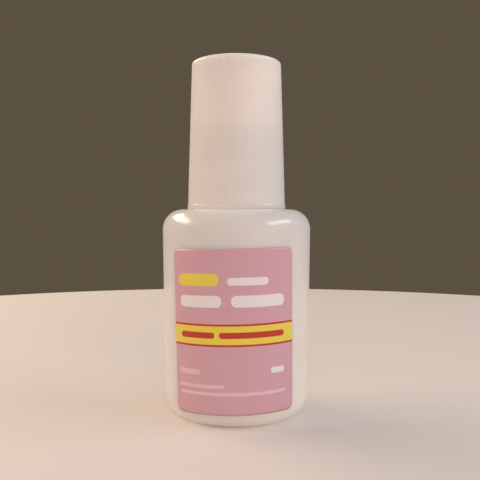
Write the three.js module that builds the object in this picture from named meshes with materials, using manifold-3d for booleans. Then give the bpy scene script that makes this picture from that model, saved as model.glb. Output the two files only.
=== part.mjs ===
// A brush-on glue bottle: a moulded bottle with a screw neck, a wiper plug in the neck, a tall
// screw cap that carries a brush, the glue itself and a wrapped front label.
// Millimetres, +Z up, the front faces -Y, and the origin is the middle of the base.
import * as THREE from 'three';
import { mergeVertices } from 'three/addons/utils/BufferGeometryUtils.js';
import Module from 'manifold-3d';

const wasm = await Module();
wasm.setup();

// Bottle body
const bodyRadius = 13.0; // side, just under the shoulder curve
const footRadius = 12.66; // side, just above the heel curve
const heelWidth = 2.2; // heel curve, measured inwards
const heelHeight = 3.7; // heel curve, measured upwards
const standWidth = 2.0; // flat ring that the bottle stands on
const baseDish = 0.6; // depth of the dished middle of the base
const shoulderHeight = 35.65; // flat shoulder around the neck
const shoulderWidth = 3.5; // shoulder curve, measured inwards
const shoulderDrop = 3.5; // shoulder curve, measured downwards
const bottleWall = 1.0;
const floorThickness = 1.2;

// Neck and thread
const neckRadius = 6.7; // between the turns of the thread
const neckWall = 0.9;
const neckHeight = 11.5; // from the shoulder to the rim
const rimRound = 0.3;
const threadPitch = 2.5;
const threadTurns = 1.4;
const threadStart = 3.2; // middle of the ridge where it begins, above the shoulder
const threadDepth = 0.6;
const threadRootWidth = 1.1;
const threadCrestWidth = 0.56;
const threadFade = 0.12; // share of a turn over which each end runs out
const threadSink = 0.3; // how far the ridge is let into its wall
const threadClearance = 0.3; // crest of one thread to the root of the other

// Wiper plug in the neck
const plugFlange = 0.8;
const plugFlangeInset = 0.3; // flange edge to the neck's outside
const plugLength = 6.0; // sleeve below the rim
const plugWall = 0.8;
const plugWeb = 0.9; // floor of the plug, around the wiping hole
const plugFit = 0.15; // sleeve to neck
const wipeClearance = 0.6; // wiping hole to brush stem

// Sealing washer
const washerThickness = 0.8;
const washerInset = 0.4; // washer edge to the flange edge above it
const seatGap = 0.15; // between faces that are pressed together

// Brush
const flangeRadius = 6.3;
const flangeThickness = 1.2;
const bossRadius = 2.3;
const bossHeight = 2.2; // below the flange
const bossClearance = 0.35; // boss to washer
const stemRadius = 1.5;
const pegRadius = 2.4;
const pegChamfer = 0.4;
const pegClearance = 0.25; // peg to the cap's socket, around it and above it
const tuftHoleRadius = 1.05;
const tuftHoleDepth = 4.0;
const tuftLength = 12.0; // bristles that stand out of the stem
const tuftRadius = 1.4; // widest part of the tuft
const tuftTipRadius = 0.5;
const tuftFit = 0.2; // bristles and staple to their hole
const tipClearance = 3.2; // bristle tips to the bottle's floor
const stapleHeight = 1.4;
const stapleThickness = 0.3;

// Cap
const capHeight = 25.45;
const capFootRadius = 8.55; // side, just above the rim bead
const capTopRadius = 7.82; // side, just under the top edge
const capEdge = 0.6; // rounding of the top edge
const capTopThickness = 1.2;
const capGap = 0.3; // cap to shoulder
const beadRadius = 8.63;
const beadHeight = 0.8;
const beadChamfer = 0.12;
const capStepClearance = 1.0; // end of the neck's thread to the step in the bore
const capUpperClearance = 0.3; // neck to the upper bore
const socketWall = 0.9;

// Glue, about ten grams of it
const glueDepth = 21.8; // at the wall
const glueFit = 0.15; // glue to bottle
const brushWellClearance = 0.4; // glue to brush

// Front label
const labelWidth = 22.0; // along the curve
const labelHeight = 26.9;
const labelFoot = 2.4; // lower edge, above the base
const labelCorner = 1.15;
const labelTurn = -2.65; // degrees around from the front, towards -X
const labelTilt = 1.2; // degrees, right side up
const labelThickness = 0.2;
const labelFit = 0.1; // label to bottle

// Fineness of the round surfaces
const bodySides = 48;
const innerSides = 32;
const tuftSides = 16;
const arcSteps = 3; // a quarter round gets twice as many
const labelColumns = 22;
const labelRows = 8;
const weldDistance = 1e-4;

// Levels and sizes that follow from the dimensions
const floorLevel = baseDish + floorThickness;
const shoulderStart = shoulderHeight - shoulderDrop;
const rimLevel = shoulderHeight + neckHeight;
const neckBore = neckRadius - neckWall;
const neckCrest = neckRadius + threadDepth;
const ridgeHalf = threadRootWidth / 2;
const threadRise = threadPitch * threadTurns;
const neckThreadLevel = shoulderHeight + threadStart;
const capThreadLevel = neckThreadLevel - threadPitch / 2;
const capBottom = shoulderHeight + capGap;
const capTop = capBottom + capHeight;
const capCeiling = capTop - capTopThickness;
const capBore = neckCrest + threadClearance;
const capThreadDepth = capBore - neckRadius - threadClearance;
const capStep = neckThreadLevel + threadRise + ridgeHalf + capStepClearance;
const capUpperBore = neckRadius + capUpperClearance;
const plugTop = rimLevel + seatGap + plugFlange;
const washerBottom = plugTop + seatGap;
const washerTop = washerBottom + washerThickness;
const flangeBottom = washerTop + seatGap;
const flangeTop = flangeBottom + flangeThickness;
const socketBottom = flangeTop + seatGap;
const socketRadius = pegRadius + pegClearance;
const tuftTip = floorLevel + tipClearance;
const stemEnd = tuftTip + tuftLength;
const stapleTop = stemEnd + tuftHoleDepth - tuftFit;
const tuftTop = stapleTop - stapleHeight - tuftFit;
const brushWell = Math.max(stemRadius, tuftRadius) + brushWellClearance;

// Quarter rounds used in the profiles, as turns of an ellipse
const right = 0;
const up = Math.PI / 2;
const down = -Math.PI / 2;

// Revolves a profile of radius and height about +Z
function turned(profile, sides) {
  return new THREE.LatheGeometry(profile.getPoints(arcSteps), sides).rotateX(Math.PI / 2);
}

function atAngle(radius, angle, height) {
  return new THREE.Vector3(radius * Math.sin(angle), -radius * Math.cos(angle), height);
}

// Joins equal rings of points into one closed solid; the two end rings are closed across
function swept(rings) {
  const count = rings[0].length;
  const triangles = [];
  const quad = (a, b, c, d) => triangles.push(a, b, c, a, c, d);
  for (let ring = 0; ring < rings.length - 1; ring += 1) {
    const here = ring * count;
    const there = here + count;
    for (let k = 0; k < count; k += 1) {
      const next = (k + 1) % count;
      quad(here + k, here + next, there + next, there + k);
    }
  }
  const last = (rings.length - 1) * count;
  for (let k = 0; k < count / 2 - 1; k += 1) {
    const across = count - 1 - k;
    quad(across, across - 1, k + 1, k);
    quad(last + k, last + k + 1, last + across - 1, last + across);
  }
  const geometry = new THREE.BufferGeometry().setFromPoints(rings.flat());
  geometry.setIndex(triangles);
  return geometry;
}

// A solid that can be joined: shared vertices merged, and triangles with no area left out
function solidOf(geometry) {
  const bare = geometry.clone();
  bare.deleteAttribute('normal');
  bare.deleteAttribute('uv');
  const merged = mergeVertices(bare, weldDistance);
  const corners = merged.index.array;
  const triangles = [];
  for (let i = 0; i < corners.length; i += 3) {
    const [a, b, c] = corners.subarray(i, i + 3);
    if (a !== b && b !== c && c !== a) {
      triangles.push(a, b, c);
    }
  }
  const vertProperties = merged.attributes.position.array;
  const triVerts = new Uint32Array(triangles);
  return new wasm.Manifold(new wasm.Mesh({ numProp: 3, vertProperties, triVerts }));
}

function geometryOf(solid) {
  const mesh = solid.getMesh();
  const geometry = new THREE.BufferGeometry();
  geometry.setAttribute('position', new THREE.BufferAttribute(mesh.vertProperties, 3));
  geometry.setIndex(new THREE.BufferAttribute(mesh.triVerts, 1));
  geometry.computeVertexNormals();
  return geometry;
}

// A right-handed thread ridge that stands out of the wall at a radius, to either side of it.
// outward is 1 on a neck and -1 in a cap.
function threadRidge(wallRadius, depth, startLevel, outward) {
  const steps = Math.round(bodySides * threadTurns);
  const rootRadius = wallRadius - outward * threadSink;
  const rings = [];
  for (let i = 0; i <= steps; i += 1) {
    const turns = i / bodySides;
    const angle = turns * 2 * Math.PI;
    const level = startLevel + turns * threadPitch;
    const fromEnd = Math.min(i, steps - i) / bodySides;
    const swell = Math.min(1, fromEnd / threadFade);
    const crestRadius = wallRadius + outward * (depth * swell - (threadSink / 2) * (1 - swell));
    const section = [
      atAngle(rootRadius, angle, level - threadRootWidth / 2),
      atAngle(crestRadius, angle, level - threadCrestWidth / 2),
      atAngle(crestRadius, angle, level + threadCrestWidth / 2),
      atAngle(rootRadius, angle, level + threadRootWidth / 2),
    ];
    rings.push(outward > 0 ? section.reverse() : section);
  }
  return swept(rings);
}

// The bottle's outside radius at a level of its side or heel
function sideRadius(level) {
  if (level < heelHeight) {
    const below = (heelHeight - Math.max(level, 0)) / heelHeight;
    return footRadius - heelWidth * (1 - Math.sqrt(1 - below * below));
  }
  const share = (level - heelHeight) / (shoulderStart - heelHeight);
  return footRadius + (bodyRadius - footRadius) * share;
}

function bottleGeometry() {
  const standOuter = footRadius - heelWidth;
  const standInner = standOuter - standWidth;
  const shoulderFlat = bodyRadius - shoulderWidth;
  const underShoulder = shoulderHeight - bottleWall;
  const profile = new THREE.Path();
  profile.moveTo(0, baseDish);
  profile.lineTo(standInner - baseDish, baseDish);
  profile.lineTo(standInner, 0);
  profile.lineTo(standOuter, 0);
  profile.absellipse(standOuter, heelHeight, heelWidth, heelHeight, down, right, false);
  profile.absellipse(shoulderFlat, shoulderStart, shoulderWidth, shoulderDrop, right, up, false);
  profile.lineTo(neckRadius, shoulderHeight);
  profile.lineTo(neckRadius, rimLevel - rimRound);
  profile.lineTo(neckRadius - rimRound, rimLevel);
  profile.lineTo(neckBore, rimLevel);
  profile.lineTo(neckBore, underShoulder);
  profile.absellipse(
    shoulderFlat, shoulderStart, shoulderWidth - bottleWall, shoulderDrop - bottleWall, up, right, true);
  profile.absellipse(
    standOuter, heelHeight, heelWidth - bottleWall, heelHeight - floorLevel, right, down, true);
  profile.lineTo(0, floorLevel);
  const ridge = threadRidge(neckRadius, threadDepth, neckThreadLevel, 1);
  return geometryOf(solidOf(turned(profile, bodySides)).add(solidOf(ridge)));
}

function neckPlugGeometry() {
  const sleeve = neckBore - plugFit;
  const sleeveBottom = rimLevel - plugLength;
  const hole = stemRadius + wipeClearance;
  const profile = new THREE.Path();
  profile.moveTo(hole, sleeveBottom);
  profile.lineTo(sleeve - plugFit, sleeveBottom);
  profile.lineTo(sleeve, sleeveBottom + plugFit);
  profile.lineTo(sleeve, rimLevel + seatGap);
  profile.lineTo(neckRadius - plugFlangeInset, rimLevel + seatGap);
  profile.lineTo(neckRadius - plugFlangeInset, plugTop);
  profile.lineTo(sleeve - plugWall, plugTop);
  profile.lineTo(sleeve - plugWall, sleeveBottom + plugWeb + plugWall);
  profile.lineTo(hole, sleeveBottom + plugWeb);
  profile.closePath();
  return turned(profile, innerSides);
}

function sealWasherGeometry() {
  const hole = bossRadius + bossClearance;
  const edge = flangeRadius - washerInset;
  const profile = new THREE.Path();
  profile.moveTo(hole, washerBottom);
  profile.lineTo(edge, washerBottom);
  profile.lineTo(edge, washerTop);
  profile.lineTo(hole, washerTop);
  profile.closePath();
  return turned(profile, innerSides);
}

// Peg, flange, boss and stem in one moulding, with a blind hole for the bristles in its end
function brushRodGeometry() {
  const pegTop = capCeiling - pegClearance;
  const bossBottom = flangeBottom - bossHeight;
  const profile = new THREE.Path();
  profile.moveTo(0, stemEnd + tuftHoleDepth);
  profile.lineTo(tuftHoleRadius, stemEnd + tuftHoleDepth);
  profile.lineTo(tuftHoleRadius, stemEnd);
  profile.lineTo(stemRadius, stemEnd);
  profile.lineTo(stemRadius, bossBottom - (bossRadius - stemRadius));
  profile.lineTo(bossRadius, bossBottom);
  profile.lineTo(bossRadius, flangeBottom);
  profile.lineTo(flangeRadius, flangeBottom);
  profile.lineTo(flangeRadius, flangeTop);
  profile.lineTo(pegRadius, flangeTop);
  profile.lineTo(pegRadius, pegTop - pegChamfer);
  profile.lineTo(pegRadius - pegChamfer, pegTop);
  profile.lineTo(0, pegTop);
  return turned(profile, innerSides);
}

function bristlesGeometry() {
  const root = tuftHoleRadius - tuftFit;
  const belly = stemEnd - tuftLength / 3;
  const profile = new THREE.Path();
  profile.moveTo(0, tuftTip);
  profile.lineTo(tuftTipRadius, tuftTip);
  profile.quadraticCurveTo(tuftRadius, belly - tuftLength / 3, tuftRadius, belly);
  profile.quadraticCurveTo(tuftRadius, stemEnd - tuftFit, root, stemEnd - tuftFit);
  profile.lineTo(root, tuftTop);
  profile.lineTo(0, tuftTop);
  return turned(profile, tuftSides);
}

function bristleStapleGeometry() {
  const width = 2 * (tuftHoleRadius - tuftFit);
  return new THREE.BoxGeometry(width, stapleThickness, stapleHeight);
}

function capGeometry() {
  const beadTop = capBottom + beadHeight;
  const profile = new THREE.Path();
  profile.moveTo(0, capCeiling);
  profile.lineTo(socketRadius, capCeiling);
  profile.lineTo(socketRadius, socketBottom);
  profile.lineTo(socketRadius + socketWall, socketBottom);
  profile.lineTo(socketRadius + socketWall, capCeiling);
  profile.lineTo(capUpperBore, capCeiling);
  profile.lineTo(capUpperBore, capStep + (capBore - capUpperBore));
  profile.lineTo(capBore, capStep);
  profile.lineTo(capBore, capBottom);
  profile.lineTo(beadRadius - beadChamfer, capBottom);
  profile.lineTo(beadRadius, capBottom + beadChamfer);
  profile.lineTo(beadRadius, beadTop - beadChamfer);
  profile.lineTo(capFootRadius, beadTop);
  profile.absellipse(capTopRadius - capEdge, capTop - capEdge, capEdge, capEdge, right, up, false);
  profile.lineTo(0, capTop);
  const ridge = threadRidge(capBore, capThreadDepth, capThreadLevel, -1);
  return geometryOf(solidOf(turned(profile, bodySides)).add(solidOf(ridge)));
}

// The glue fills the foot of the bottle and leaves a well around the brush
function glueFillGeometry() {
  const bottom = floorLevel + glueFit;
  const level = floorLevel + glueDepth;
  const standOuter = footRadius - heelWidth;
  const inset = bottleWall + glueFit;
  const wellBottom = tuftTip - brushWellClearance;
  const profile = new THREE.Path();
  profile.moveTo(0, bottom);
  profile.lineTo(standOuter, bottom);
  profile.absellipse(standOuter, heelHeight, heelWidth - inset, heelHeight - bottom, down, right, false);
  profile.lineTo(sideRadius(level) - inset, level);
  profile.lineTo(brushWell, level);
  profile.lineTo(brushWell, wellBottom);
  profile.lineTo(0, wellBottom);
  return turned(profile, innerSides);
}

// A rounded rectangle, tilted a little and wrapped on the bottle's side
function frontLabelGeometry() {
  const tilt = THREE.MathUtils.degToRad(labelTilt);
  const turn = THREE.MathUtils.degToRad(labelTurn);
  const middle = labelFoot + labelHeight / 2;
  const straight = labelWidth / 2 - labelCorner;
  const wrapped = (across, along, lift) => {
    const level = middle + along * Math.cos(tilt) + across * Math.sin(tilt);
    const arc = across * Math.cos(tilt) - along * Math.sin(tilt);
    return atAngle(sideRadius(level) + lift, turn + arc / bodyRadius, level);
  };
  const rings = [];
  for (let column = 0; column <= labelColumns; column += 1) {
    const across = (-labelWidth / 2) * Math.cos((Math.PI * column) / labelColumns);
    const past = Math.max(0, Math.abs(across) - straight);
    const cornerCut = labelCorner - Math.sqrt(Math.max(0, labelCorner ** 2 - past ** 2));
    const reach = labelHeight / 2 - cornerCut;
    const inner = [];
    const outer = [];
    for (let row = 0; row <= labelRows; row += 1) {
      const along = reach * ((2 * row) / labelRows - 1);
      inner.push(wrapped(across, along, labelFit));
      outer.unshift(wrapped(across, along, labelFit + labelThickness));
    }
    rings.push([...inner, ...outer]);
  }
  return swept(rings);
}

function finish(color, roughness, metalness = 0) {
  return new THREE.MeshStandardMaterial({ color, roughness, metalness });
}

function piece(name, geometry, material) {
  const mesh = new THREE.Mesh(geometry, material);
  mesh.name = name;
  return mesh;
}

const staple = piece('bristle_staple', bristleStapleGeometry(), finish('#b9b6ae', 0.35, 1));
staple.position.z = stapleTop - stapleHeight / 2;

const bottleGroup = new THREE.Group();
bottleGroup.add(
  piece('bottle', bottleGeometry(), finish('#dbd3c9', 0.42)),
  piece('neck_plug', neckPlugGeometry(), finish('#e6e2da', 0.5)),
  piece('front_label', frontLabelGeometry(), finish('#d59ea8', 0.55)),
  piece('glue_fill', glueFillGeometry(), finish('#e9e6dc', 0.08)),
);

const capGroup = new THREE.Group();
capGroup.add(
  piece('seal_washer', sealWasherGeometry(), finish('#f0eee8', 0.8)),
  piece('brush_rod', brushRodGeometry(), finish('#e9e5dd', 0.45)),
  staple,
  piece('bristles', bristlesGeometry(), finish('#f2efe6', 0.6)),
  piece('cap', capGeometry(), finish('#e2d8cc', 0.4)),
);

const glueBottle = new THREE.Group();
glueBottle.add(bottleGroup, capGroup);

export default glueBottle;
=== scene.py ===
import math

import bpy
import numpy as np
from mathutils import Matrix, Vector


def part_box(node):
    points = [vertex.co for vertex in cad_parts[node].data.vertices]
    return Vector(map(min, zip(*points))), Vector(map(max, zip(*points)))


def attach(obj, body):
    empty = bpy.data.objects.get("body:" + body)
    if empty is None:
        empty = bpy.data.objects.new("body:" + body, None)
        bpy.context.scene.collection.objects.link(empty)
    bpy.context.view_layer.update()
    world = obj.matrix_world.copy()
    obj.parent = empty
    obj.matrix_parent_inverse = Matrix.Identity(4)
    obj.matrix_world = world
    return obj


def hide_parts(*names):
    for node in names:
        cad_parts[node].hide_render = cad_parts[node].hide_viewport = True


# brush-on glue bottle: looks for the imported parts, all in metres, front of the label towards -Y
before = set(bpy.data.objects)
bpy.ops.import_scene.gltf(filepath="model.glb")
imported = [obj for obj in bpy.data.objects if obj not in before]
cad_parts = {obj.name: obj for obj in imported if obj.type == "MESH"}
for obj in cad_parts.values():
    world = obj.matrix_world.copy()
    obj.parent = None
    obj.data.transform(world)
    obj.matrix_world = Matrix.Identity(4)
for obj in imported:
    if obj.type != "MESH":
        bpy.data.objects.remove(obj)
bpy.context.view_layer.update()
scene = bpy.context.scene
mm = 0.001
turn = 2 * math.pi
tiny = 0.0001 * mm  # places closer than this count as one
print("frame loaded:", sorted(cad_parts))

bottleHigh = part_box("bottle")[1]
capLow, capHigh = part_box("cap")
plugLow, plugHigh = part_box("neck_plug")
washerLow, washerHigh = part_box("seal_washer")
rodLow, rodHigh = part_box("brush_rod")
tuftLow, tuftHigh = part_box("bristles")
stapleLow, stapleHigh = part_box("bristle_staple")
glueLow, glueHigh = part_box("glue_fill")


# sRGB 0-255 to a linear colour
def tone(red, green, blue):
    srgb = np.array([red, green, blue]) / 255
    linear = np.where(srgb <= 0.04045, srgb / 12.92, ((srgb + 0.055) / 1.055) ** 2.4)
    return (*linear.tolist(), 1.0)


# camera, fitted to the outline: focal length in pixels of the 480 pixel frame, pitch in degrees
photoCamera = {
    "focalPixels": 671.3,
    "imagePixels": 480,
    "sensor": 36.0,
    "place": (0.62 * mm, -119.2 * mm, 34.6 * mm),
    "pitchDown": 2.1,
    "clip": (0.005, 20.0),
}


def addCamera(s):
    data = bpy.data.cameras.new("photoCamera")
    data.sensor_width = s["sensor"]
    data.lens = s["sensor"] * s["focalPixels"] / s["imagePixels"]
    data.clip_start, data.clip_end = s["clip"]
    camera = bpy.data.objects.new("photoCamera", data)
    camera.location = s["place"]
    camera.rotation_euler = (math.radians(90 - s["pitchDown"]), 0, 0)
    scene.collection.objects.link(camera)
    scene.camera = camera


addCamera(photoCamera)
print("camera set")


# profiles: arrays of (radius, height) points, in metres

# elliptic arcs: centre + size * (cos, sin) of an angle that runs between two values, in degrees
def arcProfile(centre, size, start, stop, steps=14):
    angle = np.radians(np.linspace(start, stop, steps + 1))
    return np.column_stack([centre[0] + size[0] * np.cos(angle), centre[1] + size[1] * np.sin(angle)])


# corners are (radius, height, rounding): a rounded one is the quadratic curve
# (1-t)^2 before + 2t(1-t) corner + t^2 after, between points one rounding away on its two sides
def cornerProfile(corners, closed=False, steps=5):
    spots = np.array([corner[:2] for corner in corners], float)
    count = len(corners)
    share = np.linspace(0, 1, steps + 1)[:, None]
    runs = []
    for i, here in enumerate(spots):
        rounding = corners[i][2]
        inside = closed or 0 < i < count - 1
        if rounding == 0 or not inside:
            runs.append(here[None])
            continue
        back = spots[i - 1] - here
        on = spots[(i + 1) % count] - here
        before = here + back / np.linalg.norm(back) * rounding
        after = here + on / np.linalg.norm(on) * rounding
        runs.append((1 - share) ** 2 * before + 2 * share * (1 - share) * here + share ** 2 * after)
    points = np.vstack(runs)
    return np.vstack([points, points[:1]]) if closed else points


# joins runs, drops doubled points and cuts straight stretches into steps no longer than rowLength
def joinProfile(runs, rowLength):
    points = np.vstack(runs)
    step = np.linalg.norm(np.diff(points, axis=0), axis=1)
    points = points[np.r_[True, step > tiny]]
    span = np.diff(points, axis=0)
    count = np.maximum(1, np.ceil(np.linalg.norm(span, axis=1) / rowLength)).astype(int)
    which = np.repeat(np.arange(len(count)), count)
    within = np.arange(count.sum()) - np.repeat(np.cumsum(count) - count, count)
    share = (within / count[which])[:, None]
    return np.vstack([points[which] + span[which] * share, points[-1:]])


# which points of a profile lie on the upright wall of a radius, above or below a level
def onWall(profile, radius, above=-np.inf, below=np.inf):
    radii, heights = profile.T
    return (np.abs(radii - radius) < tiny) & (heights > above) & (heights < below)


# cuts the one stretch of a profile that the mask marks into closer rows
def refineRows(profile, mask, rowLength):
    first, last = np.flatnonzero(mask)[[0, -1]]
    fine = joinProfile([profile[first:last + 1]], rowLength)
    return np.vstack([profile[:first], fine, profile[last + 1:]])


# meshes

# edges flatter than smoothAngle, in degrees, are shaded smooth
def meshPiece(name, places, faces, material, smoothAngle=38):
    mesh = bpy.data.meshes.new(name)
    mesh.from_pydata(places.reshape(-1, 3).tolist(), [], faces)
    mesh.shade_smooth()
    mesh.set_sharp_from_angle(angle=math.radians(smoothAngle))
    mesh.materials.append(material)
    piece = bpy.data.objects.new(name, mesh)
    scene.collection.objects.link(piece)
    return piece


# quads between two sets of rings of point numbers; the last point of a ring joins its first
def tubeFaces(near, far):
    corners = [near, np.roll(near, -1, axis=-1), np.roll(far, -1, axis=-1), far]
    return np.stack(corners, axis=-1).reshape(-1, 4)


# a profile carried round the axis: x = r sin a, y = -r cos a, z = h, with a from 0 to one turn;
# relief is added to the radius and may change along the profile and round the axis;
# a ring closes on itself, any other profile starts and ends in one point on the axis
def turnedPiece(name, profile, columns, material, relief=0.0, ring=False):
    angle = turn * np.arange(columns) / columns
    kept = slice(0, -1) if ring else slice(1, -1)
    radius = (profile[:, :1] + relief * np.ones((1, columns)))[kept]
    height = profile[kept, 1:] * np.ones((1, columns))
    places = np.stack([radius * np.sin(angle), -radius * np.cos(angle), height], axis=-1).reshape(-1, 3)
    spot = np.arange(len(places)).reshape(-1, columns)
    low = spot if ring else spot[:-1]
    high = np.roll(spot, -1, axis=0) if ring else spot[1:]
    faces = tubeFaces(low, high).tolist()
    if not ring:
        pole = np.full(columns, len(places))
        first = np.stack([pole, np.roll(spot[0], -1), spot[0]], axis=-1)
        last = np.stack([spot[-1], np.roll(spot[-1], -1), pole + 1], axis=-1)
        faces = faces + first.tolist() + last.tolist()
        places = np.vstack([places, [[0, 0, profile[0, 1]], [0, 0, profile[-1, 1]]]])
    return meshPiece(name, places, faces, material)


# right-handed thread: 1 on the crest of the nearest turn, 0 beyond its foot, fading out at both ends
def threadRidge(angle, height, s):
    share = angle / turn
    nearest = np.round((height - s["level"]) / s["pitch"] - share)
    along = share + nearest
    across = np.abs(height - s["level"] - along * s["pitch"])
    ridge = np.clip((s["foot"] - across) / (s["foot"] - s["crest"]), 0, 1)
    ends = np.clip(np.minimum(along, s["turns"] - along) / s["fade"], 0, 1)
    return ridge * ridge * (3 - 2 * ridge) * ends


# puts a finished piece on its body, in place of the imported node, which it hides
def dress(piece, body, node):
    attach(piece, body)
    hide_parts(node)
    print("made", piece.name, len(piece.data.polygons), "faces on", body)


# shader helpers

def newNode(tree, kind, **values):
    node = tree.nodes.new(kind)
    for key, value in values.items():
        setattr(node, key, value)
    return node


def newGroup(name, inputs, outputs):
    group = bpy.data.node_groups.new(name, "ShaderNodeTree")
    for label, kind in inputs:
        group.interface.new_socket(label, in_out="INPUT", socket_type=kind)
    for label, kind in outputs:
        group.interface.new_socket(label, in_out="OUTPUT", socket_type=kind)
    return group, group.nodes.new("NodeGroupInput"), group.nodes.new("NodeGroupOutput")


def newMaterial(name):
    material = bpy.data.materials.new(name)
    material.use_nodes = True
    return material, material.node_tree.nodes["Principled BSDF"]


# sets a node's sockets from a settings dictionary: names gives the key for each socket
def setSockets(node, names, s):
    for socket, key in names.items():
        node.inputs[socket].default_value = s[key]


# moulded plastic: slow cloudy flow marks in colour and roughness, and a fine skin in height
skinDetail = {"cloud": 3.0, "skin": 2.0}
skinSockets = {"Tint A": "tintA", "Tint B": "tintB", "Cloud Scale": "cloudScale",
               "Skin Scale": "skinScale", "Roughness": "roughness", "Spread": "spread"}
bumpSockets = {"Strength": "bump", "Distance": "bumpDepth"}
plasticSockets = {"IOR": "ior", "Subsurface Weight": "subsurface", "Subsurface Radius": "radius",
                  "Subsurface Scale": "depth"}


def makeMouldedSkin(s):
    group, given, out = newGroup(
        "mouldedSkin",
        [("Tint A", "NodeSocketColor"), ("Tint B", "NodeSocketColor"),
         ("Cloud Scale", "NodeSocketFloat"), ("Skin Scale", "NodeSocketFloat"),
         ("Roughness", "NodeSocketFloat"), ("Spread", "NodeSocketFloat")],
        [("Color", "NodeSocketColor"), ("Roughness", "NodeSocketFloat"), ("Height", "NodeSocketFloat")])
    link = group.links.new
    where = newNode(group, "ShaderNodeTexCoord")
    cloud = newNode(group, "ShaderNodeTexNoise")
    cloud.inputs["Detail"].default_value = s["cloud"]
    link(where.outputs["Object"], cloud.inputs["Vector"])
    link(given.outputs["Cloud Scale"], cloud.inputs["Scale"])
    blend = newNode(group, "ShaderNodeMix", data_type="RGBA")
    link(cloud.outputs["Fac"], blend.inputs["Factor"])
    link(given.outputs["Tint A"], blend.inputs["A"])
    link(given.outputs["Tint B"], blend.inputs["B"])
    link(blend.outputs["Result"], out.inputs["Color"])
    skin = newNode(group, "ShaderNodeTexNoise")
    skin.inputs["Detail"].default_value = s["skin"]
    link(where.outputs["Object"], skin.inputs["Vector"])
    link(given.outputs["Skin Scale"], skin.inputs["Scale"])
    link(skin.outputs["Fac"], out.inputs["Height"])
    centred = newNode(group, "ShaderNodeMath", operation="SUBTRACT")
    centred.inputs[1].default_value = 0.5  # the noise's middle
    link(cloud.outputs["Fac"], centred.inputs[0])
    rough = newNode(group, "ShaderNodeMath", operation="MULTIPLY_ADD")
    link(centred.outputs[0], rough.inputs[0])
    link(given.outputs["Spread"], rough.inputs[1])
    link(given.outputs["Roughness"], rough.inputs[2])
    link(rough.outputs[0], out.inputs["Roughness"])
    return group


mouldedSkin = makeMouldedSkin(skinDetail)


# the moulded skin in a material: roughness and bump go to the shader, the colour is handed back
def addSkin(tree, shader, s):
    link = tree.links.new
    skin = newNode(tree, "ShaderNodeGroup", node_tree=mouldedSkin)
    setSockets(skin, skinSockets, s)
    bump = newNode(tree, "ShaderNodeBump")
    setSockets(bump, bumpSockets, s)
    link(skin.outputs["Roughness"], shader.inputs["Roughness"])
    link(skin.outputs["Height"], bump.inputs["Height"])
    link(bump.outputs["Normal"], shader.inputs["Normal"])
    return skin.outputs["Color"]


# part of the lamps' light goes on through a milky wall or the glue, so its shadow stays pale
def letLampsThrough(tree, shader, share):
    path = newNode(tree, "ShaderNodeLightPath")
    part = newNode(tree, "ShaderNodeMath", operation="MULTIPLY")
    part.inputs[1].default_value = share
    clear = newNode(tree, "ShaderNodeBsdfTransparent")
    mix = newNode(tree, "ShaderNodeMixShader")
    tree.links.new(path.outputs["Is Shadow Ray"], part.inputs[0])
    tree.links.new(part.outputs[0], mix.inputs["Fac"])
    tree.links.new(shader.outputs[0], mix.inputs[1])
    tree.links.new(clear.outputs[0], mix.inputs[2])
    tree.links.new(mix.outputs[0], tree.nodes["Material Output"].inputs["Surface"])


# a moulded plastic with its own tints, softness and translucency
def plastic(name, s):
    material, shader = newMaterial(name)
    tree = material.node_tree
    tree.links.new(addSkin(tree, shader, s), shader.inputs["Base Color"])
    setSockets(shader, plasticSockets, s)
    if "letThrough" in s:
        letLampsThrough(tree, shader, s["letThrough"])
    return material


# a smooth material whose colour runs between two tints along a noise, with a scale for each axis
def speckled(name, s):
    material, shader = newMaterial(name)
    tree = material.node_tree
    link = tree.links.new
    where = newNode(tree, "ShaderNodeTexCoord")
    stretch = newNode(tree, "ShaderNodeMapping")
    stretch.inputs["Scale"].default_value = s["scale"]
    noise = newNode(tree, "ShaderNodeTexNoise")
    noise.inputs["Scale"].default_value = 1.0
    ramp = newNode(tree, "ShaderNodeValToRGB")
    ramp.color_ramp.elements[0].color = s["tintA"]
    ramp.color_ramp.elements[1].color = s["tintB"]
    link(where.outputs["Object"], stretch.inputs["Vector"])
    link(stretch.outputs["Vector"], noise.inputs["Vector"])
    link(noise.outputs["Fac"], ramp.inputs["Fac"])
    link(ramp.outputs["Color"], shader.inputs["Base Color"])
    for socket, value in s["shader"].items():
        shader.inputs[socket].default_value = value
    if "letThrough" in s:
        letLampsThrough(tree, shader, s["letThrough"])
    return material


# bottle, with a right-handed thread on its neck
thread = {
    "level": 38.85 * mm,
    "pitch": 2.5 * mm,
    "turns": 1.4,
    "fade": 0.12,  # turns
    "foot": 0.55 * mm,
    "crest": 0.28 * mm,
    "depth": 0.6 * mm,
}
bottleShape = {
    "footRadius": 12.66 * mm,
    "heel": (2.2 * mm, 3.7 * mm),
    "standWidth": 2.0 * mm,
    "standRound": 0.3 * mm,
    "baseDish": 0.6 * mm,
    "dishRound": 0.4 * mm,
    "shoulder": (3.5 * mm, 3.5 * mm),
    "shoulderLevel": 35.65 * mm,
    "wall": 1.0 * mm,
    "floor": 1.2 * mm,
    "neckRadius": 6.7 * mm,
    "neckWall": 0.9 * mm,
    "neckRound": 0.35 * mm,
    "rimRounds": (0.3 * mm, 0.25 * mm),  # outside and inside
    "boreRound": 0.4 * mm,
    "columns": 192,
    "rowLength": 1.2 * mm,
    "threadRow": 0.11 * mm,
}
bottlePlastic = plastic("bottlePlastic", {
    "tintA": tone(230, 224, 218), "tintB": tone(222, 215, 208), "cloudScale": 160.0, "skinScale": 2600.0,
    "roughness": 0.15, "spread": 0.06, "bump": 0.2, "bumpDepth": 0.02 * mm, "ior": 1.5,
    "subsurface": 0.95, "radius": (1.0, 0.92, 0.84), "depth": 5.0 * mm, "letThrough": 0.86})


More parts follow.
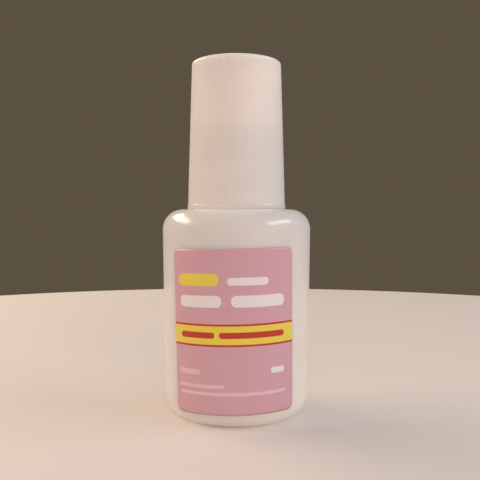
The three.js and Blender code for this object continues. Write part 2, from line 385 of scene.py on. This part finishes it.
# radius of the bottle's side: an elliptic heel, then a straight taper up to the shoulder
def sideRadius(height, s):
    heelWidth, heelHeight = s["heel"]
    below = np.clip((heelHeight - height) / heelHeight, 0, 1)
    heel = s["footRadius"] - heelWidth * (1 - np.sqrt(1 - below ** 2))
    top = s["shoulderLevel"] - s["shoulder"][1]
    share = (height - heelHeight) / (top - heelHeight)
    taper = s["footRadius"] + (bottleHigh.x - s["footRadius"]) * share
    return np.where(height < heelHeight, heel, taper)


# profile from the middle of the base up the outside, over the rim and down the inside to the floor
def makeBottle(s):
    rim, level = bottleHigh.z, s["shoulderLevel"]
    heelWidth, heelHeight = s["heel"]
    shoulderWidth, shoulderHeight = s["shoulder"]
    outerRim, innerRim = s["rimRounds"]
    wall, floor = s["wall"], s["baseDish"] + s["floor"]
    stand = s["footRadius"] - heelWidth
    dish = stand - s["standWidth"]
    flat = bottleHigh.x - shoulderWidth
    neck, bore = s["neckRadius"], s["neckRadius"] - s["neckWall"]
    heelCentre, shoulderCentre = (stand, heelHeight), (flat, level - shoulderHeight)
    base = cornerProfile([
        (0, s["baseDish"], 0), (dish - s["baseDish"], s["baseDish"], s["dishRound"]),
        (dish, 0, s["standRound"]), (stand, 0, 0)])
    neckWalls = cornerProfile([
        (flat, level, 0), (neck, level, s["neckRound"]), (neck, rim, outerRim), (bore, rim, innerRim),
        (bore, level - wall, s["boreRound"]), (flat, level - wall, 0)])
    profile = joinProfile([
        base,
        arcProfile(heelCentre, s["heel"], -90, 0),
        arcProfile(shoulderCentre, s["shoulder"], 0, 90),
        neckWalls,
        arcProfile(shoulderCentre, (shoulderWidth - wall, shoulderHeight - wall), 90, 0),
        arcProfile(heelCentre, (heelWidth - wall, heelHeight - floor), 0, -90),
        np.array([[0, floor]]),
    ], s["rowLength"])
    # the outside of the neck gets closer rows, for the thread
    profile = refineRows(profile, onWall(profile, neck, above=level), s["threadRow"])
    threaded = onWall(profile, neck, above=level)[:, None]
    angle = turn * np.arange(s["columns"]) / s["columns"]
    ridge = thread["depth"] * threadRidge(angle[None], profile[:, 1:], thread) * threaded
    piece = turnedPiece("bottleShell", profile, s["columns"], bottlePlastic, ridge)
    dress(piece, "bottle_body", "bottle")


makeBottle(bottleShape)


# cap: tapered, finely ribbed, with a bead at its rim, a threaded bore and a socket for the brush
capShape = {
    "footRadius": 8.55 * mm,
    "topRadius": 7.82 * mm,
    "edge": 0.6 * mm,
    "roof": 1.2 * mm,
    "roofRound": 0.4 * mm,
    "gateRadius": 1.1 * mm,
    "gateDepth": 0.12 * mm,
    "gateRound": 0.1 * mm,
    "rimDrop": 0.24 * mm,
    "rimRound": 0.2 * mm,
    "beadHeight": 0.72 * mm,
    "beadRound": 0.1 * mm,  # also the height of the slope above the bead
    "bore": 7.6 * mm,
    "upperBore": 7.0 * mm,
    "step": 43.9 * mm,
    "stepRound": 0.15 * mm,
    "socketRadius": 2.65 * mm,
    "socketWall": 0.9 * mm,
    "socketLevel": 50.55 * mm,
    "socketRounds": (0.2 * mm, 0.15 * mm, 0.3 * mm),  # end of the hole, mouth and foot
    "ribs": 108,
    "ribDepth": 0.024 * mm,
    "ribEnd": 0.06 * mm,  # depth of the ribs on the rounded edge
    "ribStart": 0.3 * mm,  # above the bead
    "ribRise": 1.2 * mm,  # the ribs grow to their depth over this height
    "ribTop": 0.18 * mm,  # and run out over this width beside the flat of the top
    "skin": 0.1 * mm,  # below the edge, ribs lie at least this far outside the bore
    "columnsPerRib": 4,
    "rowLength": 1.4 * mm,
    "threadRow": 0.13 * mm,
}
capPlastic = plastic("capPlastic", {
    "tintA": tone(232, 225, 219), "tintB": tone(225, 217, 210), "cloudScale": 120.0, "skinScale": 2200.0,
    "roughness": 0.18, "spread": 0.06, "bump": 0.2, "bumpDepth": 0.02 * mm, "ior": 1.49,
    "subsurface": 0.95, "radius": (1.0, 0.92, 0.84), "depth": 3.6 * mm, "letThrough": 0.9})


# profile from the roof round the socket and down the bore, then up the outside to the gate mark
def makeCap(s):
    low, high, bead = capLow.z - s["rimDrop"], capHigh.z, capHigh.x
    roof, edgeLevel = high - s["roof"], high - s["edge"]
    flat = s["topRadius"] - s["edge"]
    beadTop = low + s["beadHeight"]
    holeEnd, mouth, foot = s["socketRounds"]
    socket, outerSocket = s["socketRadius"], s["socketRadius"] + s["socketWall"]
    chamfer = s["step"] + s["bore"] - s["upperBore"]
    sunk = high - s["gateDepth"]
    inside = cornerProfile([
        (0, roof, 0), (socket, roof, holeEnd), (socket, s["socketLevel"], mouth),
        (outerSocket, s["socketLevel"], mouth), (outerSocket, roof, foot),
        (s["upperBore"], roof, s["roofRound"]), (s["upperBore"], chamfer, s["stepRound"]),
        (s["bore"], s["step"], s["stepRound"]), (s["bore"], low, 0)])
    outside = cornerProfile([
        (s["bore"], low, 0), (bead, low, s["rimRound"]), (bead, beadTop, s["beadRound"]),
        (s["footRadius"], beadTop + s["beadRound"], s["beadRound"]), (s["topRadius"], edgeLevel, 0)])
    edge = arcProfile((flat, edgeLevel), (s["edge"], s["edge"]), 0, 90)
    gate = cornerProfile([
        (flat, high, 0), (s["gateRadius"], high, s["gateRound"]),
        (s["gateRadius"] - s["gateDepth"], sunk, s["gateRound"]), (0, sunk, 0)])
    profile = joinProfile([inside, outside, edge, gate], s["rowLength"])
    # the bore gets closer rows, for its thread, which lies half a pitch below the neck's
    profile = refineRows(profile, onWall(profile, s["bore"], below=s["step"]), s["threadRow"])
    threaded = onWall(profile, s["bore"], below=s["step"])[:, None]
    radius, height = profile[:, :1], profile[:, 1:]
    columns = s["ribs"] * s["columnsPerRib"]
    angle = turn * np.arange(columns) / columns
    capThread = dict(thread, level=thread["level"] - thread["pitch"] / 2)
    ridge = -thread["depth"] * threadRidge(angle[None], height, capThread) * threaded
    # ribs: a shallow wave round the cap, from the bead to the flat of the top, deeper on the edge
    outer = (radius > s["bore"] + s["skin"]) | (height > edgeLevel)
    rise = np.clip((height - beadTop - s["ribStart"]) / s["ribRise"], 0, 1)
    runOut = np.clip((radius - flat) / s["ribTop"], 0, 1)
    ending = np.clip((height - edgeLevel + s["edge"]) / s["edge"], 0, 1)
    depth = s["ribDepth"] + (s["ribEnd"] - s["ribDepth"]) * ending
    wave = 0.5 - 0.5 * np.cos(s["ribs"] * angle)[None]
    ribs = -depth * wave * rise * runOut * outer
    piece = turnedPiece("capShell", profile, columns, capPlastic, ridge + ribs)
    dress(piece, "cap_body", "cap")


makeCap(capShape)


# neck plug: a sleeve with a flange on the rim and a floor with the wiping hole
plugShape = {
    "sleeve": 5.65 * mm,
    "wall": 0.8 * mm,
    "floor": 0.9 * mm,
    "hole": 2.1 * mm,
    "flange": 0.8 * mm,
    "round": 0.2 * mm,
    "columns": 96,
    "rowLength": 0.8 * mm,
}
plugPlastic = plastic("plugPlastic", {
    "tintA": tone(236, 233, 226), "tintB": tone(228, 224, 216), "cloudScale": 300.0, "skinScale": 3000.0,
    "roughness": 0.42, "spread": 0.1, "bump": 0.2, "bumpDepth": 0.02 * mm, "ior": 1.5,
    "subsurface": 0.8, "radius": (1.0, 0.9, 0.8), "depth": 1.8 * mm, "letThrough": 0.7})


# a closed profile: hole, outside of the sleeve, flange, and down the inside to the sloped floor
def makePlug(s):
    low, high, edge, rounding = plugLow.z, plugHigh.z, plugHigh.x, s["round"]
    inner, floor, under = s["sleeve"] - s["wall"], low + s["floor"], high - s["flange"]
    corners = cornerProfile([
        (s["hole"], low, rounding), (s["sleeve"], low, rounding), (s["sleeve"], under, rounding / 2),
        (edge, under, rounding), (edge, high, rounding), (inner, high, 2 * rounding),
        (inner, floor + s["wall"], 2 * rounding), (s["hole"], floor, rounding)], closed=True)
    profile = joinProfile([corners], s["rowLength"])
    piece = turnedPiece("neckPlug", profile, s["columns"], plugPlastic, ring=True)
    dress(piece, "bottle_body", "neck_plug")


makePlug(plugShape)


# sealing washer: soft foam with rounded edges
washerShape = {"hole": 2.65 * mm, "round": 0.22 * mm, "columns": 96, "rowLength": 0.5 * mm}
washerFoam = plastic("washerFoam", {
    "tintA": tone(242, 240, 235), "tintB": tone(228, 225, 218), "cloudScale": 1600.0,
    "skinScale": 7000.0, "roughness": 0.78, "spread": 0.2, "bump": 0.8, "bumpDepth": 0.05 * mm,
    "ior": 1.45, "subsurface": 0.4, "radius": (1.0, 0.95, 0.9), "depth": 0.8 * mm})


# a closed profile: a rectangle with rounded corners
def makeWasher(s):
    low, high, edge, rounding = washerLow.z, washerHigh.z, washerHigh.x, s["round"]
    corners = cornerProfile([
        (s["hole"], low, rounding), (edge, low, rounding),
        (edge, high, rounding), (s["hole"], high, rounding)], closed=True)
    profile = joinProfile([corners], s["rowLength"])
    piece = turnedPiece("sealWasher", profile, s["columns"], washerFoam, ring=True)
    dress(piece, "washer_body", "seal_washer")


makeWasher(washerShape)


# brush rod: peg for the cap's socket, flange, boss and stem, with a blind hole in its end
rodShape = {
    "hole": 1.05 * mm,
    "holeDepth": 4.0 * mm,
    "holeRounds": (0.15 * mm, 0.1 * mm),  # end and mouth
    "stem": 1.5 * mm,
    "stemRound": 0.2 * mm,
    "boss": 2.3 * mm,
    "bossDrop": 2.2 * mm,
    "bossRound": 0.3 * mm,
    "flangeLow": 49.2 * mm,
    "flangeHigh": 50.4 * mm,
    "flangeRounds": (0.2 * mm, 0.25 * mm),  # inner corners and rim
    "peg": 2.4 * mm,
    "pegRound": 0.5 * mm,
    "columns": 72,
    "rowLength": 1.2 * mm,
}
rodPlastic = plastic("rodPlastic", {
    "tintA": tone(238, 234, 226), "tintB": tone(230, 225, 216), "cloudScale": 260.0, "skinScale": 3200.0,
    "roughness": 0.36, "spread": 0.1, "bump": 0.2, "bumpDepth": 0.02 * mm, "ior": 1.5,
    "subsurface": 0.7, "radius": (1.0, 0.9, 0.8), "depth": 1.4 * mm, "letThrough": 0.5})


# profile from the end of the hole out of its mouth, then up the stem, boss, flange and peg
def makeRod(s):
    low, high, flange = rodLow.z, rodHigh.z, rodHigh.x
    holeTop = low + s["holeDepth"]
    holeEnd, mouth = s["holeRounds"]
    inner, rim = s["flangeRounds"]
    under = s["flangeLow"] - s["bossDrop"]
    cone = s["boss"] - s["stem"]
    corners = cornerProfile([
        (0, holeTop, 0), (s["hole"], holeTop, holeEnd), (s["hole"], low, mouth),
        (s["stem"], low, s["stemRound"]), (s["stem"], under - cone, s["bossRound"]),
        (s["boss"], under, s["bossRound"]), (s["boss"], s["flangeLow"], inner),
        (flange, s["flangeLow"], rim), (flange, s["flangeHigh"], rim),
        (s["peg"], s["flangeHigh"], inner), (s["peg"], high, s["pegRound"]), (0, high, 0)])
    profile = joinProfile([corners], s["rowLength"])
    piece = turnedPiece("brushRod", profile, s["columns"], rodPlastic)
    dress(piece, "brush_body", "brush_rod")


makeRod(rodShape)


# glue: a clear liquid with a raised edge where it wets the wall, and a well round the brush
glueShape = {
    "well": 1.9 * mm,
    "wellFloor": 4.6 * mm,
    "inset": 1.06 * mm,
    "wet": 0.5 * mm,
    "wetWidth": 1.4 * mm,
    "wallRows": 12,
    "wetRows": 8,
    "columns": 96,
    "rowLength": 1.5 * mm,
}
clearGlue = speckled("clearGlue", {
    "tintA": tone(244, 241, 230), "tintB": tone(252, 251, 246), "scale": (140.0, 140.0, 140.0),
    "shader": {"Roughness": 0.03, "IOR": 1.45, "Transmission Weight": 0.9}, "letThrough": 0.8})


# profile: floor and heel, the wall at one inset from the bottle's side, the wet edge, which falls
# inwards by (1-t)^2 to the level, and the well
def makeGlue(s, bottle):
    low, high = glueLow.z, glueHigh.z
    heelWidth, heelHeight = bottle["heel"]
    heelCentre = (bottle["footRadius"] - heelWidth, heelHeight)
    heel = arcProfile(heelCentre, (heelWidth - s["inset"], heelHeight - low), -90, 0)
    wallHeight = np.linspace(heelHeight, high, s["wallRows"])
    side = np.column_stack([sideRadius(wallHeight, bottle) - s["inset"], wallHeight])
    share = np.linspace(0, 1, s["wetRows"] + 1)[1:]
    level = high - s["wet"]
    lip = np.column_stack([side[-1, 0] - s["wetWidth"] * share, level + s["wet"] * (1 - share) ** 2])
    well = np.array([[s["well"], level], [s["well"], s["wellFloor"]], [0, s["wellFloor"]]])
    profile = joinProfile([np.array([[0, low]]), heel, side, lip, well], s["rowLength"])
    piece = turnedPiece("glueLiquid", profile, s["columns"], clearGlue)
    dress(piece, "bottle_body", "glue_fill")


makeGlue(glueShape, bottleShape)


# bristles: strands spread by the golden angle, each following the tuft's outline at its own share
tuftShape = {
    "strands": 260,
    "sides": 5,
    "rings": 10,
    "strand": 0.045 * mm,
    "thinning": 0.6,  # share of the thickness lost at the tip
    "goldenAngle": 2.39996,
    "rootRadius": 0.8 * mm,
    "belly": 1.32 * mm,
    "bellyAt": 0.38,
    "tip": 0.42 * mm,
    "taperPower": 1.5,
    "lengthSpread": 0.1,
    "seed": 7,
    "smoothAngle": 60,
}
bristleNylon = speckled("bristleNylon", {
    "tintA": tone(226, 217, 203), "tintB": tone(246, 240, 231), "scale": (4000.0, 4000.0, 120.0),
    "shader": {"Roughness": 0.35}})


# a strand's reach = its share * outline: the root swells to the belly by 3t^2 - 2t^3, then falls to
# the tip by a power of the way past the belly; its thickness falls with the cube of the way along
def makeTuft(s):
    low, high = tuftLow.z, tuftHigh.z
    exitLevel = rodLow.z
    rng = np.random.default_rng(s["seed"])
    number = np.arange(s["strands"])
    share = np.sqrt((number + 0.5) / s["strands"])[:, None]
    around = (number * s["goldenAngle"])[:, None]
    foot = low + (high - low) * s["lengthSpread"] * rng.random((s["strands"], 1))
    along = np.linspace(0, 1, s["rings"])[None]
    height = high + (foot - high) * along
    out = np.clip((exitLevel - height) / (exitLevel - low), 0, 1)
    swell = np.clip(out / s["bellyAt"], 0, 1)
    swell = swell * swell * (3 - 2 * swell)
    taper = np.clip((out - s["bellyAt"]) / (1 - s["bellyAt"]), 0, 1) ** s["taperPower"]
    outline = s["rootRadius"] + (s["belly"] - s["rootRadius"]) * swell + (s["tip"] - s["belly"]) * taper
    reach = share * outline
    middle = np.stack([reach * np.cos(around), reach * np.sin(around), height], axis=-1)
    thick = s["strand"] * (1 - s["thinning"] * along ** 3)
    side = turn * np.arange(s["sides"]) / s["sides"]
    rim = np.stack([np.cos(side), np.sin(side), np.zeros(s["sides"])], axis=-1)
    places = middle[:, :, None] + thick[0][None, :, None, None] * rim[None, None]
    spot = np.arange(places.size // 3).reshape(places.shape[:3])
    walls = tubeFaces(spot[:, 1:], spot[:, :-1])
    ends = np.vstack([spot[:, 0], spot[:, -1, ::-1]])
    faces = walls.tolist() + ends.tolist()
    piece = meshPiece("bristleTuft", places, faces, bristleNylon, s["smoothAngle"])
    dress(piece, "brush_body", "bristles")


makeTuft(tuftShape)


# staple: a wire bent to a U over the folded bristles
stapleShape = {"wire": 0.13 * mm, "bend": 0.35 * mm, "sides": 10, "steps": 10, "smoothAngle": 50}
stapleSteel = speckled("stapleSteel", {
    "tintA": tone(150, 148, 142), "tintB": tone(205, 202, 195), "scale": (3500.0, 3500.0, 3500.0),
    "shader": {"Metallic": 1.0, "Roughness": 0.32}})


# the wire's middle line lies in the plane y = 0: leg, bend, crown, bend, leg
def makeStaple(s):
    half = stapleHigh.x - s["wire"]
    top = stapleHigh.z - s["wire"]
    bottom = stapleLow.z
    bend = s["bend"]
    right = arcProfile((half - bend, top - bend), (bend, bend), 0, 90, s["steps"])
    left = arcProfile((-half + bend, top - bend), (bend, bend), 90, 180, s["steps"])
    line = np.vstack([[[half, bottom]], right, left, [[-half, bottom]]])
    run = np.gradient(line, axis=0)
    run = run / np.linalg.norm(run, axis=1)[:, None]
    across = np.column_stack([run[:, 1], np.zeros(len(run)), -run[:, 0]])
    side = turn * np.arange(s["sides"]) / s["sides"]
    middle = np.column_stack([line[:, 0], np.zeros(len(line)), line[:, 1]])
    depth = np.array([0, 1, 0])
    ring = np.cos(side)[None, :, None] * across[:, None] + np.sin(side)[None, :, None] * depth
    places = middle[:, None] + s["wire"] * ring
    spot = np.arange(places.size // 3).reshape(places.shape[:2])
    faces = tubeFaces(spot[:-1], spot[1:]).tolist() + [spot[0, ::-1].tolist(), spot[-1].tolist()]
    piece = meshPiece("bristleStaple", places, faces, stapleSteel, s["smoothAngle"])
    dress(piece, "brush_body", "bristle_staple")


makeStaple(stapleShape)


# front label: a rounded rectangle, tilted a little, wrapped on the bottle's side
labelShape = {
    "width": 22.0 * mm,
    "height": 26.9 * mm,
    "foot": 2.4 * mm,
    "corner": 1.15 * mm,
    "turned": -2.65,  # degrees round the bottle from the front
    "tilt": 1.2,  # degrees
    "lift": 0.015 * mm,
    "film": 0.05 * mm,
    "columns": 120,
    "rows": 60,
}
# the print's places and sizes are in millimetres from the label's middle
labelPrint = {
    "tintA": tone(217, 170, 181), "tintB": tone(210, 161, 173), "cloudScale": 420.0, "skinScale": 5200.0,
    "roughness": 0.34, "spread": 0.1, "bump": 0.2, "bumpDepth": 0.01 * mm,
    "inks": {"yellow": tone(236, 214, 82), "red": tone(196, 58, 42), "white": tone(238, 230, 230),
             "pale": tone(230, 194, 203)},
    "inkEdge": 0.03,
    "band": (-0.45, 1.82),  # middle and half height
    "bandLine": 0.33,
    "bandCorner": 0.1,
    "barRound": 0.9,  # share of a bar's half height
    # plain bars: ink, middle across and along, half width and half height
    "bars": [
        ("yellow", -5.95, 8.5, 3.85, 1.0), ("white", 2.75, 8.2, 3.4, 0.62),
        ("white", -5.6, 5.0, 3.9, 0.95), ("white", 4.5, 5.0, 4.6, 0.95),
        ("red", -6.2, -0.45, 3.2, 0.5), ("red", 3.4, -0.45, 5.6, 0.5),
        ("pale", -7.9, -6.5, 2.2, 0.42), ("white", 7.7, -6.4, 1.3, 0.48),
        ("pale", -5.8, -8.75, 4.2, 0.26), ("pale", -0.3, -9.95, 9.6, 0.26),
    ],
}


# 1 inside a rounded bar, 0 outside: distance to the bar's edge, softened over the ink's edge
def makeRoundBar(inkEdge):
    group, given, out = newGroup(
        "roundBar",
        [("Place", "NodeSocketVector"), ("Middle", "NodeSocketVector"),
         ("Half Size", "NodeSocketVector"), ("Corner", "NodeSocketFloat")],
        [("Mask", "NodeSocketFloat")])
    link = group.links.new

    def vectorMath(operation, first, second=None, constant=None):
        node = newNode(group, "ShaderNodeVectorMath", operation=operation)
        link(first, node.inputs[0])
        if second is not None:
            link(second, node.inputs[1])
        if constant is not None:
            node.inputs[1].default_value = constant
        return node

    offset = vectorMath("SUBTRACT", given.outputs["Place"], given.outputs["Middle"])
    away = vectorMath("ABSOLUTE", offset.outputs[0])
    past = vectorMath("SUBTRACT", away.outputs[0], given.outputs["Half Size"])
    corner = newNode(group, "ShaderNodeCombineXYZ")
    link(given.outputs["Corner"], corner.inputs["X"])
    link(given.outputs["Corner"], corner.inputs["Y"])
    rounded = vectorMath("ADD", past.outputs[0], corner.outputs[0])
    beyond = vectorMath("MAXIMUM", rounded.outputs[0], constant=(0, 0, 0))
    flat = vectorMath("MULTIPLY", beyond.outputs[0], constant=(1, 1, 0))
    reach = vectorMath("LENGTH", flat.outputs[0])
    distance = newNode(group, "ShaderNodeMath", operation="SUBTRACT")
    link(reach.outputs["Value"], distance.inputs[0])
    link(given.outputs["Corner"], distance.inputs[1])
    mask = newNode(group, "ShaderNodeMapRange")
    mask.inputs["From Min"].default_value = inkEdge
    mask.inputs["From Max"].default_value = -inkEdge
    link(distance.outputs[0], mask.inputs["Value"])
    link(mask.outputs["Result"], out.inputs["Mask"])
    return group


roundBar = makeRoundBar(labelPrint["inkEdge"])


# the band and the bars are painted one over the other on the pink
def makeLabelMaterial(s, shape):
    material, shader = newMaterial("labelFilm")
    tree = material.node_tree
    link = tree.links.new
    sheet = newNode(tree, "ShaderNodeUVMap", uv_map="labelMap")
    scaled = newNode(tree, "ShaderNodeMapping")  # to millimetres from the label's middle
    width, height = shape["width"] / mm, shape["height"] / mm
    scaled.inputs["Location"].default_value = (-width / 2, -height / 2, 0)
    scaled.inputs["Scale"].default_value = (width, height, 1)
    link(sheet.outputs["UV"], scaled.inputs["Vector"])

    def paint(colour, ink, middle, half, corner):
        bar = newNode(tree, "ShaderNodeGroup", node_tree=roundBar)
        bar.inputs["Middle"].default_value = (*middle, 0)
        bar.inputs["Half Size"].default_value = (*half, 1)
        bar.inputs["Corner"].default_value = corner
        link(scaled.outputs["Vector"], bar.inputs["Place"])
        blend = newNode(tree, "ShaderNodeMix", data_type="RGBA")
        link(bar.outputs["Mask"], blend.inputs["Factor"])
        link(colour, blend.inputs["A"])
        blend.inputs["B"].default_value = s["inks"][ink]
        return blend.outputs["Result"]

    colour = addSkin(tree, shader, s)
    middle, half = s["band"]
    colour = paint(colour, "red", (0, middle), (width, half), s["bandCorner"])
    colour = paint(colour, "yellow", (0, middle), (width, half - s["bandLine"]), s["bandCorner"])
    for ink, across, along, halfWidth, halfHeight in s["bars"]:
        corner = s["barRound"] * halfHeight
        colour = paint(colour, ink, (across, along), (halfWidth, halfHeight), corner)
    link(colour, shader.inputs["Base Color"])
    return material


labelFilm = makeLabelMaterial(labelPrint, labelShape)


# across and along run over the flat label; the corners shorten the outer columns; then the sheet is
# tilted and wrapped: angle = arc / the bottle's radius, radius = the bottle's side at that height
def makeLabel(s, bottle):
    step = np.linspace(0, np.pi, s["columns"] + 1)
    across = -s["width"] / 2 * np.cos(step)[:, None]
    past = np.clip(np.abs(across) - (s["width"] / 2 - s["corner"]), 0, s["corner"])
    reach = s["height"] / 2 - s["corner"] + np.sqrt(s["corner"] ** 2 - past ** 2)
    along = reach * np.linspace(-1, 1, s["rows"] + 1)[None]
    across = across + 0 * along
    tilt = math.radians(s["tilt"])
    level = s["foot"] + s["height"] / 2 + along * math.cos(tilt) + across * math.sin(tilt)
    arc = across * math.cos(tilt) - along * math.sin(tilt)
    angle = math.radians(s["turned"]) + arc / bottleHigh.x
    radius = sideRadius(level, bottle) + s["lift"] + s["film"]
    places = np.stack([radius * np.sin(angle), -radius * np.cos(angle), level], axis=-1)
    spot = np.arange(level.size).reshape(level.shape)
    corners = [spot[:-1, :-1], spot[1:, :-1], spot[1:, 1:], spot[:-1, 1:]]
    quads = np.stack(corners, axis=-1).reshape(-1, 4)
    piece = meshPiece("labelSheet", places, quads.tolist(), labelFilm)
    flat = np.stack([across / s["width"] + 0.5, along / s["height"] + 0.5], axis=-1).reshape(-1, 2)
    layer = piece.data.uv_layers.new(name="labelMap")
    layer.data.foreach_set("uv", flat[quads.reshape(-1)].astype(np.float32).reshape(-1))
    film = piece.modifiers.new("film", "SOLIDIFY")
    film.thickness = s["film"]
    film.offset = -1.0  # inwards
    dress(piece, "bottle_body", "front_label")


makeLabel(labelShape, bottleShape)


# stage: a round pale floor, two soft lamps that show as highlights, a fill in front that doesn't,
# and an even, quiet backdrop
stageLook = {
    "floorRadius": 0.2,
    "floorRings": (0.03, 0.06, 0.12),
    "floorEdge": 2.0 * mm,
    "floorColumns": 128,
    "floorTint": tone(228, 222, 216),
    "floorRoughness": 0.55,
    "backdrop": (0.105, 0.082, 0.054, 1.0),
    "ambient": (1.0, 0.9, 0.78, 1.0),
    "ambientStrength": 0.32,
    "lampTarget": (0, 0, 30.0 * mm),
    "shining": ("leftSoft", "rightSoft"),  # lamps that show as highlights
    # lamp name: direction from the bottle, distance, width and height, watts, colour
    "lamps": {
        "leftSoft": ((-0.755, 0.348, 0.555), 0.5, (0.5, 0.13), 1.85, (1.0, 0.75, 0.57)),
        "rightSoft": ((0.816, -0.146, 0.562), 0.5, (0.38, 0.125), 0.88, (0.76, 0.83, 1.0)),
        "frontFill": ((0.14, -0.91, 0.4), 0.7, (0.6, 0.4), 1.85, (1.0, 0.87, 0.85)),
    },
}


# rings of the floor lie at z = 0, and the last one a little lower, as a bevelled edge
def makeFloor(s):
    rings = [*s["floorRings"], s["floorRadius"] - s["floorEdge"], s["floorRadius"]]
    radius = np.array(rings)[:, None]
    height = np.where(radius < s["floorRadius"], 0, -s["floorEdge"])
    angle = turn * np.arange(s["floorColumns"]) / s["floorColumns"]
    places = np.stack([radius * np.sin(angle), -radius * np.cos(angle), height + 0 * angle], axis=-1)
    spot = np.arange(places.size // 3).reshape(places.shape[:2])
    faces = tubeFaces(spot[1:], spot[:-1]).tolist() + [spot[0].tolist()]
    material, shader = newMaterial("floorPaint")
    shader.inputs["Base Color"].default_value = s["floorTint"]
    shader.inputs["Roughness"].default_value = s["floorRoughness"]
    meshPiece("studioFloor", places, faces, material)


def makeLamps(s):
    for name, (direction, distance, size, watts, tint) in s["lamps"].items():
        data = bpy.data.lights.new(name, "AREA")
        data.shape = "RECTANGLE"
        data.size, data.size_y = size
        data.energy = watts
        data.color = tint
        lamp = bpy.data.objects.new(name, data)
        aim = Vector(direction).normalized()
        lamp.location = Vector(s["lampTarget"]) + aim * distance
        lamp.rotation_euler = aim.to_track_quat("Z", "Y").to_euler()
        lamp.visible_glossy = name in s["shining"]
        scene.collection.objects.link(lamp)


# the backdrop is what the camera sees, directly or through the glue; all else gets the soft ambient
def makeWorld(s):
    world = bpy.data.worlds.new("quietRoom")
    world.use_nodes = True
    scene.world = world
    tree = world.node_tree
    link = tree.links.new
    soft = tree.nodes["Background"]
    soft.inputs["Color"].default_value = s["ambient"]
    soft.inputs["Strength"].default_value = s["ambientStrength"]
    shown = newNode(tree, "ShaderNodeBackground")
    shown.inputs["Color"].default_value = s["backdrop"]
    path = newNode(tree, "ShaderNodeLightPath")
    seen = newNode(tree, "ShaderNodeMath", operation="MAXIMUM")
    mix = newNode(tree, "ShaderNodeMixShader")
    link(path.outputs["Is Camera Ray"], seen.inputs[0])
    link(path.outputs["Is Transmission Ray"], seen.inputs[1])
    link(seen.outputs[0], mix.inputs["Fac"])
    link(soft.outputs[0], mix.inputs[1])
    link(shown.outputs[0], mix.inputs[2])
    link(mix.outputs[0], tree.nodes["World Output"].inputs["Surface"])


makeFloor(stageLook)
makeLamps(stageLook)
makeWorld(stageLook)
scene.view_settings.view_transform = "Standard"
print("stage set")
